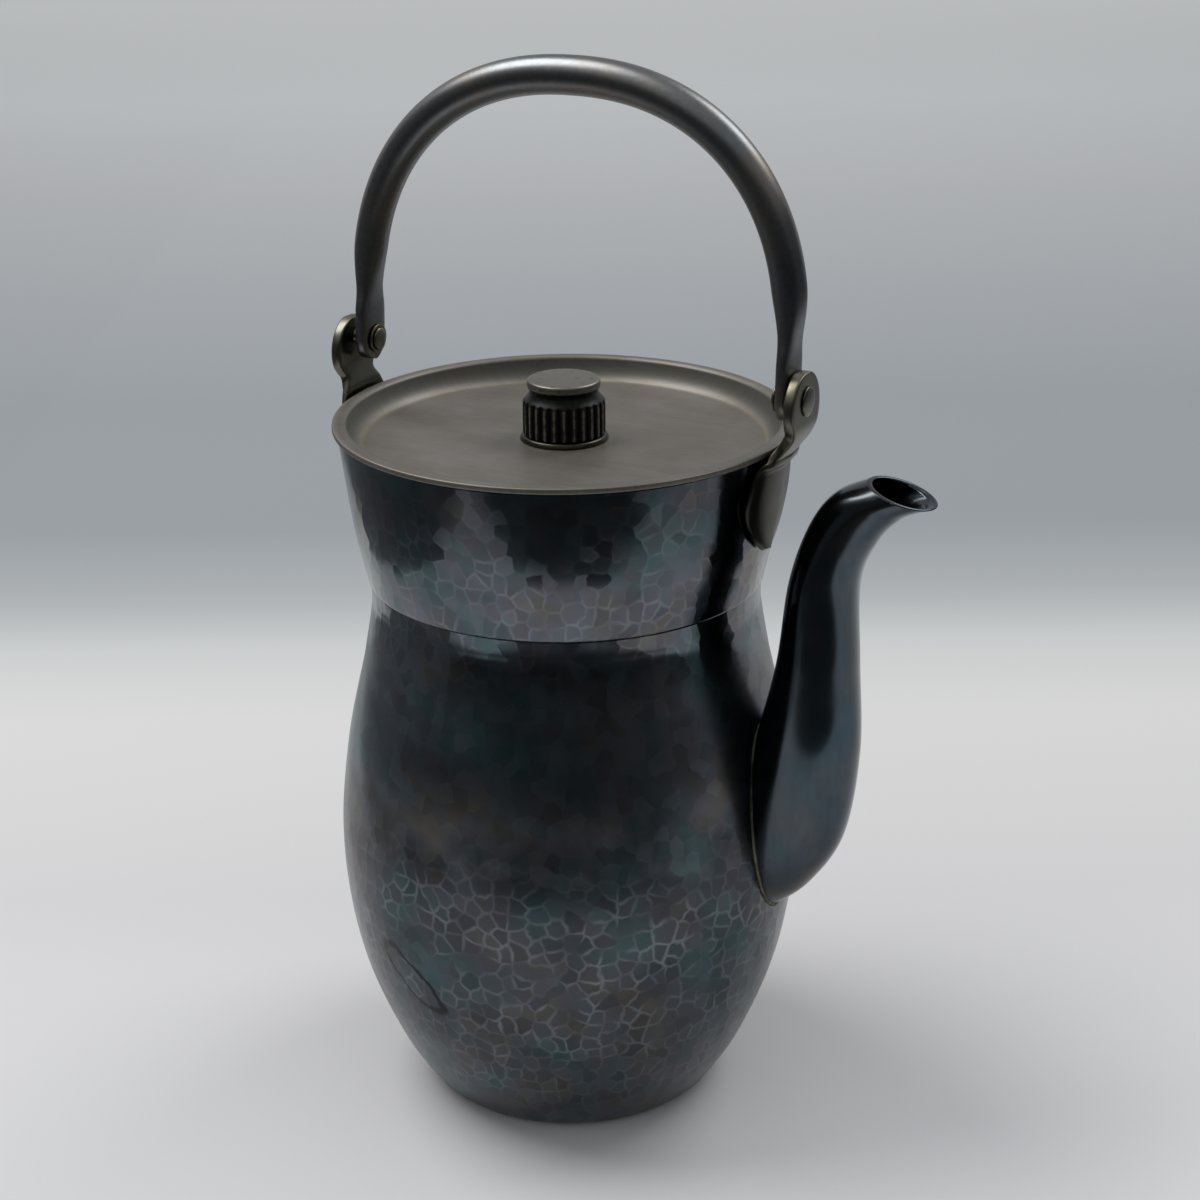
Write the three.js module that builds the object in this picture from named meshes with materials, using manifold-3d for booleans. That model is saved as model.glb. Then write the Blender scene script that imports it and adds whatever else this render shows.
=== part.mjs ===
// A tin water ewer: beaten belly and neck, soldered spout, sunk lid with a fluted knob, and a bail on two ears.
// Millimetres, +Z up, +X towards the spout. The origin is the centre of the flat underside.
import * as THREE from "three";
import { mergeVertices } from "three/addons/utils/BufferGeometryUtils.js";
import Module from "manifold-3d";

const wasm = await Module();
wasm.setup();

// Belly and neck
const sheet = 1.4; // wall of the belly and the neck
const footThickness = 2;
const footEdge = 3; // rounding where the foot turns up into the flank
const rimRadius = 58.8;
const rimHeight = 188.2;
const neckHeight = 40.7; // from the soldered waist seam up to the rim
const seamLap = 4; // how far the belly's tongue reaches up inside the neck
const seamStep = 0.4; // the neck's edge stands this far outside the belly
const bellyStations = [
  // radius, height; stretched to end at the seam
  [40, 0],
  [49.7, 16],
  [59, 42],
  [62.6, 71],
  [59.9, 100],
  [54.3, 126],
  [51.7, 147.5],
];
const neckStations = [
  // radius, height above the seam
  [55.2, 13.5],
  [57.3, 28.5],
];

// Lid
const flangeOverhang = 1.2; // how far the flange stands out past the rim
const flangeThickness = 1.5;
const panDepth = 6;
const panTaper = 3.7; // how far the floor's edge stands in from the top of the pan's wall
const panFit = 0.9; // clearance between the pan and the inside of the neck
const lidSheet = 1.3;
const wellWall = 0.8; // how far the pan's wall stands in from the flange's inner edge
const wellCurve = [0.35, 0.18]; // where the wall bends, as shares of its run and of its depth
const flangeEdge = 0.35; // chamfer round the flange's upper edge

// Knob
const ringRadius = 11.6;
const ringThickness = 1.3;
const fluteRadius = 10.8;
const fluteHeight = 8.6;
const fluteDepth = 0.55;
const fluteCount = 26;
const grooveRadius = 8.6;
const shoulderHeight = 2.8; // from the top of the flutes up to the groove
const capRadius = 9.5;
const capHeight = 3;
const knobEdge = 0.7; // rounding at the foot of the flutes and round the cap
const knobLip = 0.35; // rounding at the top of the flutes and beside the groove
const shankRadius = 2;
const shankReach = 5; // how far the rivet goes up into the knob
const headCrown = 0.75; // flat top of a rivet's head, as a share of its width
const backWasherRadius = 7;
const backWasherThickness = 0.8;
const tailRadius = 3.6;
const tailHeight = 1;

// Bail
const pinRise = 13.3; // the pins' height above the lid's flange, on the ewer's axis
const pinTilt = 0.85; // degrees that the line of the pins falls towards the spout
const bailLean = 3.1; // degrees that it leans away from upright
const legRise = 14.3; // straight leg, from the pins up to where the arch springs
const archRise = 59.1; // from there to the crown
const archPower = 2.22; // 2 is an ellipse, more is squarer
const legRadius = 4;
const crownRadius = 4.95;
const eyeRadius = 5.6;
const eyeThickness = 3.8;
const eyeFlat = [9.4, 12.4]; // above the pins: where the flat eye thickens to the round leg
const eyeBroad = [8, 16]; // above the pins: where the broad eye narrows to it
const legStep = 2.2; // height between the rings of a leg

// Ears and rivets
const frontGap = 4.5; // from the lid's flange out to the inner face of the front ear's round eye
const backGap = 2.4;
const backPlay = 2.2; // between the back ear and the bail's eye
const earThickness = 3.05;
const earRadius = 9.1;
const earDrop = 2.7; // centre of the round eye, below the height of the pins
const earWaist = 6.8; // half width of the narrow neck
const leafOutline = [
  // below the narrow neck, half width
  [3.7, 9.3],
  [9, 12],
  [14, 12.9],
  [19.5, 11],
  [25, 6.2],
  [29, 0.9],
];
const leafEdge = 1.3; // thickness of the leaf at its edge
const leafDome = 1.4; // how much thicker it is along its middle
const armDrop = 7; // height over which the arm slants in to the neck
const landingDrop = 4; // the arm meets the neck at least this far below the rim
const flangeRoom = 1; // from this far below the rim upwards, the arm stays outside the lid's flange
const leafClear = 0.25; // extra room between the leaf's flat facets and the round neck
const frontBend = 6.5; // above the flange: where the front arm starts to slant in
const frontWaist = 1; // above the flange: its narrowest place
const backBend = 8.5;
const backWaist = 3.5;
const pinRadius = 2.1;
const headRadius = 3.8;
const headHeight = 0.8;
const tailHeadRadius = 2.9;
const washerThickness = 0.5;

// Spout: two rails in the plane of the handle, [out from the widest belly, height], and the half width
const spoutWall = 1.3;
const spoutFront = [
  [-0.6, 62],
  [9.1, 71],
  [17.7, 86],
  [21.1, 110],
  [20.1, 134.2],
  [19.6, 156],
  [24.6, 168.8],
  [31.4, 176.2],
  [39.4, 179.8],
];
const spoutBack = [
  [-13, 62],
  [-13, 71],
  [-13, 86],
  [-5.8, 113],
  [-0.7, 134.1],
  [2.1, 156.1],
  [6.7, 170.9],
  [12.9, 180.1],
  [22, 185],
];
const spoutHalfWidth = [4, 9.5, 13, 13.2, 12.2, 11, 9.6, 8.6, 8];

// Fits and facets
const seat = 0.3; // gap between pieces that touch
const pinFit = 0.25; // radial clearance of the rivets in their holes
const roundSides = 48;
const smallSides = 20;
const trimSides = 16;
const barSides = 14;
const flankSteps = 15;
const archSteps = 26;
const leafSteps = 18;
const eyeSteps = 8;
const shankSteps = 6;
const facetsPerFlute = 4;

const radians = THREE.MathUtils.degToRad;
const smooth = THREE.MathUtils.smoothstep;
const seamHeight = rimHeight - neckHeight;
const stretch = seamHeight / bellyStations.at(-1)[1]; // of the belly's and the spout's heights
const bellyOutline = bellyStations.map(([r, z]) => [r, z * stretch]);
const widest = Math.max(...bellyOutline.map(([r]) => r));
const flangeRadius = rimRadius + flangeOverhang;
const flangeTop = rimHeight + seat + flangeThickness;
const pinHeight = flangeTop + pinRise;

// The two sides: inner face of the ear, room between it and the bail's eye, where the arm bends and is narrowest.
const frontSide = { inner: flangeRadius + frontGap, play: seat, bend: frontBend, waist: frontWaist, fall: radians(pinTilt) };
const backSide = { inner: flangeRadius + backGap, play: backPlay, bend: backBend, waist: backWaist, fall: -radians(pinTilt) };
const eyeOut = ({ inner, play }) => inner - play - eyeThickness / 2; // from the axis to the middle of an eye
const washerIn = (arm) => eyeOut(arm) - eyeThickness / 2 - seat - washerThickness; // to the inner face of a washer
const bailHalfSpan = (eyeOut(frontSide) + eyeOut(backSide)) / 2;
const bailShift = (eyeOut(frontSide) - eyeOut(backSide)) / 2; // the bail lies over to the spout's side
const pinAxis = new THREE.Vector3(Math.cos(radians(pinTilt)), 0, -Math.sin(radians(pinTilt)));

const tin = (color, roughness) => new THREE.MeshStandardMaterial({ color, roughness, metalness: 0.85 });
const darkTin = tin(0x32373b, 0.42);
const spoutTin = tin(0x232a33, 0.32);
const lidTin = tin(0x655f59, 0.6);
const knobTin = tin(0x4c4a47, 0.45);
const earTin = tin(0x4b4a40, 0.45);
const bailTin = tin(0x2e3033, 0.36);

// Closed mesh to solid and back, for cutting and joining.
function solid(geometry) {
  const bare = geometry.clone();
  bare.deleteAttribute("normal");
  bare.deleteAttribute("uv");
  const merged = mergeVertices(bare, 1e-4);
  const index = merged.index.array;
  const triangles = [];
  for (let i = 0; i < index.length; i += 3) {
    const [a, b, c] = index.slice(i, i + 3);
    if (a !== b && b !== c && c !== a) triangles.push(a, b, c);
  }
  const vertProperties = merged.attributes.position.array;
  return new wasm.Manifold(new wasm.Mesh({ numProp: 3, vertProperties, triVerts: new Uint32Array(triangles) }));
}

function geometryOf(body) {
  const { vertProperties, triVerts } = body.getMesh();
  const geometry = new THREE.BufferGeometry();
  geometry.setAttribute("position", new THREE.BufferAttribute(vertProperties, 3));
  geometry.setIndex(new THREE.BufferAttribute(triVerts, 1));
  geometry.computeVertexNormals();
  return geometry;
}

// Turns an outline of [radius, height] about the Z axis: up the outside first, then back down the inside.
function turned(outline, sides = roundSides) {
  const points = outline.map(([r, z]) => new THREE.Vector2(r, z));
  const onAxis = points[0].x === 0 && points.at(-1).x === 0;
  if (!onAxis) points.push(points[0].clone());
  return new THREE.LatheGeometry(points, sides).rotateX(Math.PI / 2);
}

// A short bar along Z from low to high.
function disc(radius, low, high, sides = smallSides) {
  return turned([[0, low], [radius, low], [radius, high], [0, high]], sides);
}

// A smooth curve through stations, as [radius, height] points.
function through(stations, count) {
  const curve = new THREE.SplineCurve(stations.map(([r, z]) => new THREE.Vector2(r, z)));
  return curve.getPoints(count).map((p) => [p.x, p.y]);
}

// Radius of an outline at a height.
function radiusAt(outline, z) {
  const i = Math.max(1, outline.findIndex((p) => p[1] >= z));
  const [[r0, z0], [r1, z1]] = [outline[i - 1], outline[i]];
  return r0 + ((r1 - r0) * (z - z0)) / (z1 - z0);
}

// Skin over a row of rings of points, closed with a fan at each end.
function loft(rings) {
  const n = rings[0].length;
  const position = rings.flat().flatMap((p) => [p.x, p.y, p.z]);
  const index = [];
  for (let i = 0; i + 1 < rings.length; i++) {
    for (let j = 0; j < n; j++) {
      const a = i * n + j;
      const b = i * n + ((j + 1) % n);
      index.push(a, b, b + n, a, b + n, a + n);
    }
  }
  for (const [ring, offset, turn] of [[rings[0], 0, 1], [rings.at(-1), (rings.length - 1) * n, 0]]) {
    const middle = position.length / 3;
    const centre = ring.reduce((sum, p) => sum.add(p), new THREE.Vector3()).divideScalar(n);
    position.push(centre.x, centre.y, centre.z);
    for (let j = 0; j < n; j++) {
      const pair = [offset + j, offset + ((j + 1) % n)];
      index.push(middle, pair[turn], pair[1 - turn]);
    }
  }
  const geometry = new THREE.BufferGeometry();
  geometry.setAttribute("position", new THREE.Float32BufferAttribute(position, 3));
  geometry.setIndex(index);
  geometry.computeVertexNormals();
  return geometry;
}

// Outside of the belly, with its rounded foot edge, and outside of the neck.
function bellySkin() {
  const flank = through(bellyOutline, flankSteps);
  const turnUp = flank.filter(([, z]) => z >= footEdge);
  const start = new THREE.Vector2(bellyOutline[0][0] - footEdge, 0);
  const corner = new THREE.Vector2(bellyOutline[0][0], 0);
  const arc = new THREE.QuadraticBezierCurve(start, corner, new THREE.Vector2(...turnUp[0]));
  return [...arc.getPoints(3).slice(0, -1).map((p) => [p.x, p.y]), ...turnUp];
}

const bellyOutside = bellySkin();
const seamRadius = bellyOutside.at(-1)[0];
const neckMiddle = neckStations.map(([r, up]) => [r, seamHeight + up]);
const neckOutside = through([[seamRadius + seamStep, seamHeight + seat], ...neckMiddle, [rimRadius, rimHeight]], 7);
const neckInside = neckOutside.map(([r, z]) => [r - sheet, z]);

function bellyShell() {
  const tongueTop = seamHeight + seamLap;
  const tongueOut = (z) => radiusAt(neckInside, Math.max(z, seamHeight + seat)) - seat;
  const outside = [...bellyOutside, [tongueOut(seamHeight), seamHeight], [tongueOut(tongueTop), tongueTop]];
  const tongueIn = [[tongueOut(tongueTop) - sheet, tongueTop], [tongueOut(seamHeight) - sheet, seamHeight - seamLap]];
  const inside = bellyOutside.filter(([, z], i) => z > footEdge + footThickness && z < seamHeight - 2 * seamLap && i % 2);
  const well = inside.reverse().map(([r, z]) => [r - sheet, z]);
  const floorRadius = radiusAt(bellyOutside, footThickness + footEdge) - sheet - footEdge;
  const outline = [[0, 0], ...outside, ...tongueIn, ...well, [floorRadius, footThickness], [0, footThickness]];
  return turned(outline);
}

function neckShell() {
  return turned([...neckOutside, ...neckInside.slice().reverse()]);
}

// Spout: a skin between two rails, thinner by the wall for the bore.
function spoutSkin(inset, run) {
  const rail = (stations) => new THREE.SplineCurve(stations.map(([out, z]) => new THREE.Vector2(out + widest, z * stretch)));
  const front = rail(spoutFront);
  const back = rail(spoutBack);
  const width = new THREE.SplineCurve(spoutHalfWidth.map((half, i) => new THREE.Vector2(i, half)));
  const steps = 3 * (spoutHalfWidth.length - 1);
  const rings = [];
  for (let i = 0; i <= steps; i++) {
    const t = i / steps;
    rings.push(spoutRing(front.getPoint(t), back.getPoint(t), width.getPoint(t).y, inset));
  }
  const beyond = (ring, before) => ring.map((p, j) => p.clone().add(p.clone().sub(before[j]).setLength(run)));
  return loft(run ? [...rings, beyond(rings.at(-1), rings.at(-2))] : rings);
}

// One oval ring between a front and a back point.
function spoutRing(front, back, halfWidth, inset) {
  const middle = front.clone().add(back).multiplyScalar(0.5);
  const reach = front.clone().sub(back).multiplyScalar(0.5);
  reach.setLength(reach.length() - inset);
  return Array.from({ length: smallSides }, (_, j) => {
    const a = (2 * Math.PI * j) / smallSides;
    const across = (halfWidth - inset) * Math.sin(a);
    return new THREE.Vector3(middle.x + reach.x * Math.cos(a), across, middle.y + reach.y * Math.cos(a));
  });
}

function belly(bore) {
  return geometryOf(solid(bellyShell()).subtract(bore));
}

function spout(bore) {
  const body = turned([[0, 0], ...bellyOutside.map(([r, z]) => [r + seat, z]), [0, seamHeight]]);
  return geometryOf(solid(spoutSkin(0, 0)).subtract(bore).subtract(solid(body)));
}

// Middle line of an ear: [distance from the axis, height], from the top of the eye to the tip of the leaf.
function earLine(arm) {
  const flat = arm.inner + earThickness / 2;
  const bend = flangeTop + arm.bend;
  const clear = flangeRadius + seat + earThickness / 2;
  const onNeck = (z) => radiusAt(neckOutside, z) + seat + leafEdge / 2 + leafClear;
  return (z) => {
    const landing = Math.min(bend - armDrop, rimHeight - landingDrop);
    const foot = onNeck(Math.min(z, rimHeight));
    if (z >= bend) return flat;
    if (z <= landing) return foot;
    const share = smooth(z, landing, bend);
    const line = foot + (flat - foot) * share;
    return z > rimHeight - flangeRoom ? Math.max(line, clear) : line;
  };
}

const eyeMiddle = pinHeight - earDrop; // centre of an ear's round eye

// Half width of an ear at a height: round eye, narrow neck, leaf.
function earHalfWidth(arm, z) {
  const waist = flangeTop + arm.waist;
  const eye = Math.sqrt(Math.max(0, earRadius ** 2 - (z - eyeMiddle) ** 2));
  if (z >= eyeMiddle) return eye;
  if (z >= waist) return Math.max(eye, earWaist);
  const stations = [[earWaist, 0], ...leafOutline.map(([down, half]) => [half, down])];
  return radiusAt(through(stations, 40), waist - z);
}

// One ring round an ear plate at a height. The eye is flat; the leaf wraps round the neck.
function earRing(arm, line, z) {
  const waist = flangeTop + arm.waist;
  const half = earHalfWidth(arm, z);
  const wrap = 1 - smooth(z, waist - armDrop, waist + armDrop / 2);
  const step = 0.2;
  const slope = (line(z + step) - line(z - step)) / (2 * step);
  const normal = new THREE.Vector2(1, -slope).normalize();
  const columns = 6;
  const at = (share, side) => {
    const bulge = leafDome * (1 - share * share) * wrap;
    const edge = earThickness + (leafEdge - earThickness) * wrap;
    const offset = side > 0 ? edge / 2 + bulge : -edge / 2;
    const radius = line(z) + offset * normal.x;
    const turn = (share * half * wrap) / line(z);
    const flatPart = share * half * (1 - wrap);
    const x = radius * Math.cos(turn);
    return new THREE.Vector3(x, radius * Math.sin(turn) + flatPart, z + offset * normal.y);
  };
  const shares = Array.from({ length: columns + 1 }, (_, j) => (2 * j) / columns - 1);
  return [...shares.map((s) => at(s, 1)), ...shares.reverse().map((s) => at(s, -1))];
}

function ear(arm) {
  const line = earLine(arm);
  const waist = flangeTop + arm.waist;
  const tip = waist - leafOutline.at(-1)[0];
  const quarter = Math.PI / 2;
  const eyeTop = Array.from({ length: eyeSteps }, (_, i) => eyeMiddle + earRadius * Math.cos((quarter * (i + 1)) / (eyeSteps + 1)));
  const shank = Array.from({ length: shankSteps }, (_, i) => eyeMiddle - ((eyeMiddle - waist) * i) / shankSteps);
  const leaf = Array.from({ length: leafSteps + 1 }, (_, i) => waist - ((waist - tip) * i) / leafSteps);
  const heights = [...eyeTop, ...shank, ...leaf].reverse(); // tip first
  const plate = loft(heights.map((z) => earRing(arm, line, z)));
  const hole = onPinAxis(disc(pinRadius + pinFit, arm.inner - earThickness, arm.inner + 2 * earThickness), arm);
  return geometryOf(solid(plate).subtract(solid(hole)));
}

// Lays a geometry turned about Z along the line of the pins, which falls outwards on one side and rises on the other.
function onPinAxis(geometry, arm) {
  return geometry.rotateY(Math.PI / 2 + arm.fall).translate(0, 0, pinHeight);
}

// Rivet through an ear and an eye: shank, outer head, and the head closed over the washer inside.
function bailPin(arm) {
  const outer = arm.inner + earThickness + seat / 2;
  const inner = washerIn(arm) - seat / 2;
  const outline = [
    [0, inner - headHeight],
    [tailHeadRadius * headCrown, inner - headHeight],
    [tailHeadRadius, inner - headHeight / 2],
    [tailHeadRadius, inner],
    [pinRadius, inner],
    [pinRadius, outer],
    [headRadius, outer],
    [headRadius, outer + headHeight / 2],
    [headRadius * headCrown, outer + headHeight],
    [0, outer + headHeight],
  ];
  return onPinAxis(turned(outline, trimSides), arm);
}

function bailWasher(arm) {
  const bore = pinRadius + pinFit;
  const low = washerIn(arm);
  const high = low + washerThickness;
  return onPinAxis(turned([[bore, low], [headRadius, low], [headRadius, high], [bore, high]], trimSides), arm);
}

// Half sizes of the bail's section at a height above the pins: [along X, along Y].
function legSection(rise, share) {
  const round = legRadius + (crownRadius - legRadius) * Math.sin(Math.PI * share);
  const below = Math.min(0, rise) / eyeRadius;
  const eyeHalf = eyeRadius * Math.sqrt(1 - below * below);
  const flat = 1 - smooth(rise, ...eyeFlat);
  const broad = 1 - smooth(rise, ...eyeBroad);
  return [round + (eyeThickness / 2 - round) * flat, round + (eyeHalf - round) * broad];
}

// Middle line of the bail above its own pin axis, eye to eye: straight legs and a superellipse arch.
// Each eye follows the falling line of the pins; the legs even that out below the arch.
function bailLine() {
  const legHeights = [-0.985, -0.94, -0.8, -0.5, 0, 0.5].map((share) => share * eyeRadius);
  for (let rise = eyeRadius; rise < legRise; rise += legStep) legHeights.push(rise);
  const arch = [];
  for (let i = 0; i <= archSteps; i++) {
    const a = (Math.PI * i) / archSteps;
    const x = Math.abs(Math.cos(a)) ** (2 / archPower) * Math.sign(Math.cos(a));
    const up = Math.max(0, Math.sin(a)) ** (2 / archPower);
    arch.push({ at: new THREE.Vector2(-bailHalfSpan * x, legRise + archRise * up), rise: legRise + archRise * up });
  }
  const fall = bailHalfSpan * Math.tan(radians(pinTilt));
  const leg = (side, heights) =>
    heights.map((rise) => {
      const drop = side * fall * (1 - Math.max(0, rise) / legRise);
      return { at: new THREE.Vector2(side * bailHalfSpan, rise - drop), rise };
    });
  return [...leg(-1, legHeights), ...arch, ...leg(1, legHeights.reverse())];
}

function bail() {
  const line = bailLine();
  const rings = line.map(({ at: p, rise }, i) => {
    const ahead = line[Math.min(i + 1, line.length - 1)].at;
    const behind = line[Math.max(i - 1, 0)].at;
    const along = ahead.clone().sub(behind).normalize();
    const [halfX, halfY] = legSection(rise, i / (line.length - 1));
    return Array.from({ length: barSides }, (_, j) => {
      const a = (2 * Math.PI * j) / barSides;
      const across = halfX * Math.cos(a);
      return new THREE.Vector3(p.x + along.y * across, halfY * Math.sin(a), p.y - along.x * across);
    });
  });
  const hole = disc(pinRadius + pinFit, -bailHalfSpan - legRadius, bailHalfSpan + legRadius);
  hole.rotateY(Math.PI / 2 + radians(pinTilt));
  return geometryOf(solid(loft(rings)).subtract(solid(hole)));
}

// Lid: flat flange, curved wall down to a sunk floor, with the rivet's hole in the middle.
function lid() {
  const floor = flangeTop - panDepth;
  const wallTop = radiusAt(neckInside, rimHeight) - panFit;
  const floorRadius = wallTop - panTaper;
  const mouth = wallTop - wellWall;
  const curve = (r0, z0, r1, z1) => {
    const bend = new THREE.QuadraticBezierCurve(
      new THREE.Vector2(r0, z0),
      new THREE.Vector2(r0 + (r1 - r0) * wellCurve[0], z1 + (z0 - z1) * wellCurve[1]),
      new THREE.Vector2(r1, z1),
    );
    return bend.getPoints(4).map((p) => [p.x, p.y]);
  };
  const under = curve(wallTop, flangeTop - flangeThickness, floorRadius, floor - lidSheet).reverse();
  const over = curve(mouth, flangeTop, floorRadius, floor);
  const bore = shankRadius + pinFit;
  return turned([
    [bore, floor - lidSheet],
    ...under,
    [flangeRadius, flangeTop - flangeThickness],
    [flangeRadius, flangeTop - flangeEdge],
    [flangeRadius - flangeEdge, flangeTop],
    ...over,
    [bore, floor],
  ]);
}

const knobFoot = flangeTop - panDepth + seat / 2;
const fluteFoot = knobFoot + ringThickness + seat / 2;

function knobRing() {
  const bore = shankRadius + pinFit;
  const top = knobFoot + ringThickness;
  return turned([[bore, knobFoot], [ringRadius, knobFoot], [ringRadius - knobEdge, top], [bore, top]]);
}

// Knob: flutes below, a shoulder, a groove and a flat cap; [height, radius, how deep the flutes are there].
function knob() {
  const fluteTop = fluteFoot + fluteHeight;
  const groove = fluteTop + shoulderHeight;
  const top = groove + capHeight;
  const stations = [
    [fluteFoot, fluteRadius - knobEdge, 1],
    [fluteFoot + knobEdge, fluteRadius, 1],
    [fluteTop - knobEdge, fluteRadius, 1],
    [fluteTop, fluteRadius - knobLip, 0.8],
    [fluteTop + shoulderHeight / 3, (fluteRadius + grooveRadius) / 2, 0],
    [groove - knobLip, grooveRadius, 0],
    [groove + knobLip, grooveRadius, 0],
    [groove + 2 * knobLip, capRadius - knobLip / 2, 0],
    [top - knobEdge, capRadius, 0],
    [top, capRadius - knobEdge, 0],
  ];
  const sides = fluteCount * facetsPerFlute;
  const rings = stations.map(([z, radius, depth]) =>
    Array.from({ length: sides }, (_, j) => {
      const a = (2 * Math.PI * j) / sides;
      const r = radius - fluteDepth * depth * Math.abs(Math.cos((fluteCount * a) / 2));
      return new THREE.Vector3(r * Math.cos(a), r * Math.sin(a), z);
    }),
  );
  const hole = disc(shankRadius + pinFit, fluteFoot - seat, fluteFoot + shankReach + seat);
  return geometryOf(solid(loft(rings)).subtract(solid(hole)));
}

// Under the lid: washer and the rivet that holds the knob.
const washerTop = flangeTop - panDepth - lidSheet - seat / 2;
const washerFoot = washerTop - backWasherThickness;

function knobWasher() {
  const bore = shankRadius + pinFit;
  const outline = [
    [bore, washerFoot],
    [backWasherRadius, washerFoot],
    [backWasherRadius, washerTop],
    [bore, washerTop],
  ];
  return turned(outline, smallSides);
}

function knobRivet() {
  const head = washerFoot - seat / 2;
  return turned(
    [
      [0, head - tailHeight],
      [tailRadius * headCrown, head - tailHeight],
      [tailRadius, head - tailHeight / 2],
      [tailRadius, head],
      [shankRadius, head],
      [shankRadius, fluteFoot + shankReach],
      [0, fluteFoot + shankReach],
    ],
    trimSides,
  );
}

function part(name, geometry, material) {
  const mesh = new THREE.Mesh(geometry, material.clone());
  mesh.name = name;
  return mesh;
}

// What stands on one side of the handle's plane, turned half round for the back.
function side(name, arm, turn) {
  const group = new THREE.Group();
  group.add(part(`ear_${name}`, ear(arm), earTin));
  group.add(part(`bail_pin_${name}`, bailPin(arm), earTin));
  group.add(part(`bail_washer_${name}`, bailWasher(arm), earTin));
  group.rotation.z = turn;
  return group;
}

function carrying() {
  const group = new THREE.Group();
  group.add(part("bail", bail(), bailTin));
  group.position.set(bailShift, 0, pinHeight - bailShift * Math.tan(radians(pinTilt)));
  group.setRotationFromAxisAngle(pinAxis, -radians(bailLean));
  return group;
}

const bore = solid(spoutSkin(spoutWall, 2 * spoutWall));
const ewer = new THREE.Group();
ewer.add(part("belly", belly(bore), darkTin));
ewer.add(part("neck_collar", neckShell(), darkTin));
ewer.add(part("spout", spout(bore), spoutTin));
ewer.add(side("front", frontSide, 0), side("back", backSide, Math.PI));
ewer.add(carrying());
ewer.add(part("lid", lid(), lidTin));
ewer.add(part("knob_ring", knobRing(), knobTin));
ewer.add(part("knob", knob(), knobTin));
ewer.add(part("knob_rivet", knobRivet(), lidTin));
ewer.add(part("knob_washer", knobWasher(), lidTin));

export default ewer;
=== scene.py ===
import math

import bpy
import numpy as np
from mathutils import Matrix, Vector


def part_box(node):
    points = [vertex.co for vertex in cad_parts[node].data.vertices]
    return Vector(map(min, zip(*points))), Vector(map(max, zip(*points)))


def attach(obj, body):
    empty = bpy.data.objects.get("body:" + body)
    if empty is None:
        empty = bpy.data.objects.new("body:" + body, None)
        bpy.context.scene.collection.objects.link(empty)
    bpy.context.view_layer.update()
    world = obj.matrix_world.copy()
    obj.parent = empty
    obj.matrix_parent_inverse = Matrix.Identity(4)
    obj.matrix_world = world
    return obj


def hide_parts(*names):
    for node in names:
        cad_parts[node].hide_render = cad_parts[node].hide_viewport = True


# A tin water ewer: hammered dark body, polished spout, brushed lid with a fluted knob, and a bail on two ears.
# Lengths are in millimetres up to the moment a mesh is made; +Z is up and +X points to the spout.

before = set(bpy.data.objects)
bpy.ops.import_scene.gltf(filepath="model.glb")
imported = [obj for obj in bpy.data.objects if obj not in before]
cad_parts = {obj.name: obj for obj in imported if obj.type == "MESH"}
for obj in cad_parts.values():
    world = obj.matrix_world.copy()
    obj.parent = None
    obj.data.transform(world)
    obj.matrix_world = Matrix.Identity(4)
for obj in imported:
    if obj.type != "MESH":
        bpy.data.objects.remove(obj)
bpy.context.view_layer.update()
mm = 0.001


def low(node):  # lowest corner of a CAD node in mm
    return np.array(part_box(node)[0]) / mm


def high(node):  # highest corner of a CAD node in mm
    return np.array(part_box(node)[1]) / mm


seamLap = 4  # mm that the belly's tongue reaches up inside the neck
seamHeight = high("belly")[2] - seamLap
neckFoot = low("neck_collar")[2]
rimHeight = high("neck_collar")[2]
flangeTop = high("lid")[2]
flangeRadius = 60
pinRise = 13.3  # from the flange up to the pins on the ewer's axis; their line falls towards the spout
pinHeight = flangeTop + pinRise
seat = 0.3  # clearance between two pieces that meet


def smoothCurve(stations, count):
    # Uniform Catmull-Rom curve through the stations, its end points repeated, sampled evenly in the parameter.
    points = np.array(stations, float)
    t = np.asarray(count) if np.ndim(count) else np.linspace(0, len(points) - 1, count)
    i = np.minimum(np.floor(t).astype(int), len(points) - 2)
    w = (t - i)[..., None]
    before, here = points[np.maximum(i - 1, 0)], points[i]
    after, later = points[i + 1], points[np.minimum(i + 2, len(points) - 1)]
    v0, v1 = (after - before) / 2, (later - here) / 2
    return (2 * here - 2 * after + v0 + v1) * w**3 + (3 * after - 3 * here - 2 * v0 - v1) * w**2 + v0 * w + here


def bend(t, start, pull, end):  # quadratic curve from the start to the end, drawn towards the point between
    return (1 - t) ** 2 * start + 2 * t * (1 - t) * pull + t**2 * end


def roundTurn(count):  # angles at equal steps round a full turn
    return np.arange(count) * 2 * math.pi / count


def unit(vectors):  # each vector divided by its length
    return vectors / np.linalg.norm(vectors, axis=-1, keepdims=True)


def powered(value, power):  # the value's size to a power, its sign kept
    return np.sign(value) * np.abs(value) ** power


def smoothStep(value, start, end):  # 3 t squared less 2 t cubed between the two ends
    t = np.clip((value - start) / (end - start), 0, 1)
    return t * t * (3 - 2 * t)


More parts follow.
